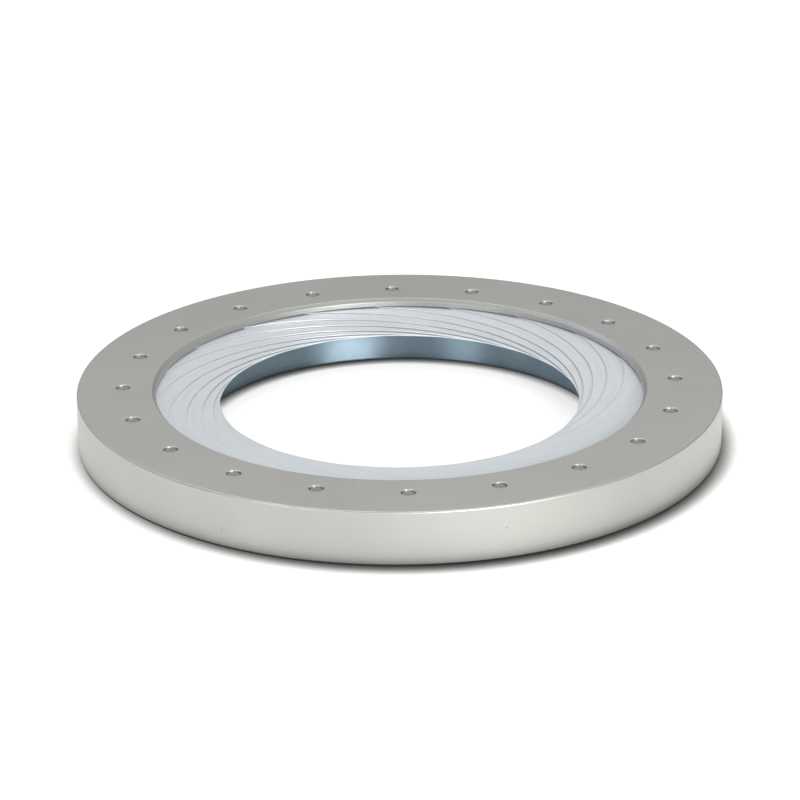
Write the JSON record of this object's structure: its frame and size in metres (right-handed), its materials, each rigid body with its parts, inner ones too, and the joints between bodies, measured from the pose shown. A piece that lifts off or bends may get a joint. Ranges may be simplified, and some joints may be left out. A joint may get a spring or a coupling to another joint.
{
  "type": "iris diaphragm",
  "caption": "Large ring-operated iris diaphragm: thin overlapping leaves in a turned metal ring close or open a round central aperture",
  "frame": {"origin": "centre of the mounting face, on the axis of the opening", "axes": "+Z out of the flange side along the axis, +X through the first leaf pivot"},
  "size_m": [0.2332, 0.2332, 0.0195],
  "materials": {
    "turned_aluminium": "fine turned and satin, clear",
    "zinc_steel": "steel with blue passivated zinc",
    "leaf_steel": "rolled spring steel, satin",
    "pin_steel": "turned steel",
    "screw_steel": "zinc plated screw",
    "spring_steel": "oiled spring strip",
    "glide_plastic": "natural acetal"
  },
  "bodies": {
    "base": {"base_ring": "zinc_steel"},
    "outer_ring": {"outer_ring": "turned_aluminium", "retaining_ring": "turned_aluminium", "retaining_screws": "screw_steel", "stop_pin": "pin_steel", "upper_glide_ring": "glide_plastic", "lower_glide_ring": "glide_plastic", "wave_spring": "spring_steel"},
    "leaf_01": {"leaf_blade_01": "leaf_steel", "leaf_pins_01": "pin_steel"},
    "leaf_02": {"leaf_blade_02": "leaf_steel", "leaf_pins_02": "pin_steel"},
    "leaf_03": {"leaf_blade_03": "leaf_steel", "leaf_pins_03": "pin_steel"},
    "leaf_04": {"leaf_blade_04": "leaf_steel", "leaf_pins_04": "pin_steel"},
    "leaf_05": {"leaf_blade_05": "leaf_steel", "leaf_pins_05": "pin_steel"},
    "leaf_06": {"leaf_blade_06": "leaf_steel", "leaf_pins_06": "pin_steel"},
    "leaf_07": {"leaf_blade_07": "leaf_steel", "leaf_pins_07": "pin_steel"},
    "leaf_08": {"leaf_blade_08": "leaf_steel", "leaf_pins_08": "pin_steel"},
    "leaf_09": {"leaf_blade_09": "leaf_steel", "leaf_pins_09": "pin_steel"},
    "leaf_10": {"leaf_blade_10": "leaf_steel", "leaf_pins_10": "pin_steel"},
    "leaf_11": {"leaf_blade_11": "leaf_steel", "leaf_pins_11": "pin_steel"},
    "leaf_12": {"leaf_blade_12": "leaf_steel", "leaf_pins_12": "pin_steel"},
    "leaf_13": {"leaf_blade_13": "leaf_steel", "leaf_pins_13": "pin_steel"},
    "leaf_14": {"leaf_blade_14": "leaf_steel", "leaf_pins_14": "pin_steel"},
    "leaf_15": {"leaf_blade_15": "leaf_steel", "leaf_pins_15": "pin_steel"},
    "leaf_16": {"leaf_blade_16": "leaf_steel", "leaf_pins_16": "pin_steel"},
    "leaf_17": {"leaf_blade_17": "leaf_steel", "leaf_pins_17": "pin_steel"},
    "leaf_18": {"leaf_blade_18": "leaf_steel", "leaf_pins_18": "pin_steel"},
    "leaf_19": {"leaf_blade_19": "leaf_steel", "leaf_pins_19": "pin_steel"},
    "leaf_20": {"leaf_blade_20": "leaf_steel", "leaf_pins_20": "pin_steel"}
  },
  "joints": [
    {"name": "ring_turn", "type": "hinge", "parent": "base", "child": "outer_ring", "pos_m": [0, 0, 0], "axis": [0, 0, 1], "range_deg": [-11.5, 31]},
    {"name": "leaf_01_pivot", "type": "hinge", "parent": "outer_ring", "child": "leaf_01", "pos_m": [0.1, 0, 0.0162], "axis": [0, 0, 1], "range_deg": [-15.5, 5.75]},
    {"name": "leaf_02_pivot", "type": "hinge", "parent": "outer_ring", "child": "leaf_02", "pos_m": [0.09511, 0.0309, 0.0162], "axis": [0, 0, 1], "range_deg": [-15.5, 5.75]},
    {"name": "leaf_03_pivot", "type": "hinge", "parent": "outer_ring", "child": "leaf_03", "pos_m": [0.0809, 0.05878, 0.0162], "axis": [0, 0, 1], "range_deg": [-15.5, 5.75]},
    {"name": "leaf_04_pivot", "type": "hinge", "parent": "outer_ring", "child": "leaf_04", "pos_m": [0.05878, 0.0809, 0.0162], "axis": [0, 0, 1], "range_deg": [-15.5, 5.75]},
    {"name": "leaf_05_pivot", "type": "hinge", "parent": "outer_ring", "child": "leaf_05", "pos_m": [0.0309, 0.09511, 0.0162], "axis": [0, 0, 1], "range_deg": [-15.5, 5.75]},
    {"name": "leaf_06_pivot", "type": "hinge", "parent": "outer_ring", "child": "leaf_06", "pos_m": [0, 0.1, 0.0162], "axis": [0, 0, 1], "range_deg": [-15.5, 5.75]},
    {"name": "leaf_07_pivot", "type": "hinge", "parent": "outer_ring", "child": "leaf_07", "pos_m": [-0.0309, 0.09511, 0.0162], "axis": [0, 0, 1], "range_deg": [-15.5, 5.75]},
    {"name": "leaf_08_pivot", "type": "hinge", "parent": "outer_ring", "child": "leaf_08", "pos_m": [-0.05878, 0.0809, 0.0162], "axis": [0, 0, 1], "range_deg": [-15.5, 5.75]},
    {"name": "leaf_09_pivot", "type": "hinge", "parent": "outer_ring", "child": "leaf_09", "pos_m": [-0.0809, 0.05878, 0.0162], "axis": [0, 0, 1], "range_deg": [-15.5, 5.75]},
    {"name": "leaf_10_pivot", "type": "hinge", "parent": "outer_ring", "child": "leaf_10", "pos_m": [-0.09511, 0.0309, 0.0162], "axis": [0, 0, 1], "range_deg": [-15.5, 5.75]},
    {"name": "leaf_11_pivot", "type": "hinge", "parent": "outer_ring", "child": "leaf_11", "pos_m": [-0.1, 0, 0.0162], "axis": [0, 0, 1], "range_deg": [-15.5, 5.75]},
    {"name": "leaf_12_pivot", "type": "hinge", "parent": "outer_ring", "child": "leaf_12", "pos_m": [-0.09511, -0.0309, 0.0162], "axis": [0, 0, 1], "range_deg": [-15.5, 5.75]},
    {"name": "leaf_13_pivot", "type": "hinge", "parent": "outer_ring", "child": "leaf_13", "pos_m": [-0.0809, -0.05878, 0.0162], "axis": [0, 0, 1], "range_deg": [-15.5, 5.75]},
    {"name": "leaf_14_pivot", "type": "hinge", "parent": "outer_ring", "child": "leaf_14", "pos_m": [-0.05878, -0.0809, 0.0162], "axis": [0, 0, 1], "range_deg": [-15.5, 5.75]},
    {"name": "leaf_15_pivot", "type": "hinge", "parent": "outer_ring", "child": "leaf_15", "pos_m": [-0.0309, -0.09511, 0.0162], "axis": [0, 0, 1], "range_deg": [-15.5, 5.75]},
    {"name": "leaf_16_pivot", "type": "hinge", "parent": "outer_ring", "child": "leaf_16", "pos_m": [0, -0.1, 0.0162], "axis": [0, 0, 1], "range_deg": [-15.5, 5.75]},
    {"name": "leaf_17_pivot", "type": "hinge", "parent": "outer_ring", "child": "leaf_17", "pos_m": [0.0309, -0.09511, 0.0162], "axis": [0, 0, 1], "range_deg": [-15.5, 5.75]},
    {"name": "leaf_18_pivot", "type": "hinge", "parent": "outer_ring", "child": "leaf_18", "pos_m": [0.05878, -0.0809, 0.0162], "axis": [0, 0, 1], "range_deg": [-15.5, 5.75]},
    {"name": "leaf_19_pivot", "type": "hinge", "parent": "outer_ring", "child": "leaf_19", "pos_m": [0.0809, -0.05878, 0.0162], "axis": [0, 0, 1], "range_deg": [-15.5, 5.75]},
    {"name": "leaf_20_pivot", "type": "hinge", "parent": "outer_ring", "child": "leaf_20", "pos_m": [0.09511, -0.0309, 0.0162], "axis": [0, 0, 1], "range_deg": [-15.5, 5.75]}
  ],
  "couplings": [
    {"joint": "leaf_01_pivot", "follows": "ring_turn", "ratio": -0.5},
    {"joint": "leaf_02_pivot", "follows": "ring_turn", "ratio": -0.5},
    {"joint": "leaf_03_pivot", "follows": "ring_turn", "ratio": -0.5},
    {"joint": "leaf_04_pivot", "follows": "ring_turn", "ratio": -0.5},
    {"joint": "leaf_05_pivot", "follows": "ring_turn", "ratio": -0.5},
    {"joint": "leaf_06_pivot", "follows": "ring_turn", "ratio": -0.5},
    {"joint": "leaf_07_pivot", "follows": "ring_turn", "ratio": -0.5},
    {"joint": "leaf_08_pivot", "follows": "ring_turn", "ratio": -0.5},
    {"joint": "leaf_09_pivot", "follows": "ring_turn", "ratio": -0.5},
    {"joint": "leaf_10_pivot", "follows": "ring_turn", "ratio": -0.5},
    {"joint": "leaf_11_pivot", "follows": "ring_turn", "ratio": -0.5},
    {"joint": "leaf_12_pivot", "follows": "ring_turn", "ratio": -0.5},
    {"joint": "leaf_13_pivot", "follows": "ring_turn", "ratio": -0.5},
    {"joint": "leaf_14_pivot", "follows": "ring_turn", "ratio": -0.5},
    {"joint": "leaf_15_pivot", "follows": "ring_turn", "ratio": -0.5},
    {"joint": "leaf_16_pivot", "follows": "ring_turn", "ratio": -0.5},
    {"joint": "leaf_17_pivot", "follows": "ring_turn", "ratio": -0.5},
    {"joint": "leaf_18_pivot", "follows": "ring_turn", "ratio": -0.5},
    {"joint": "leaf_19_pivot", "follows": "ring_turn", "ratio": -0.5},
    {"joint": "leaf_20_pivot", "follows": "ring_turn", "ratio": -0.5}
  ]
}
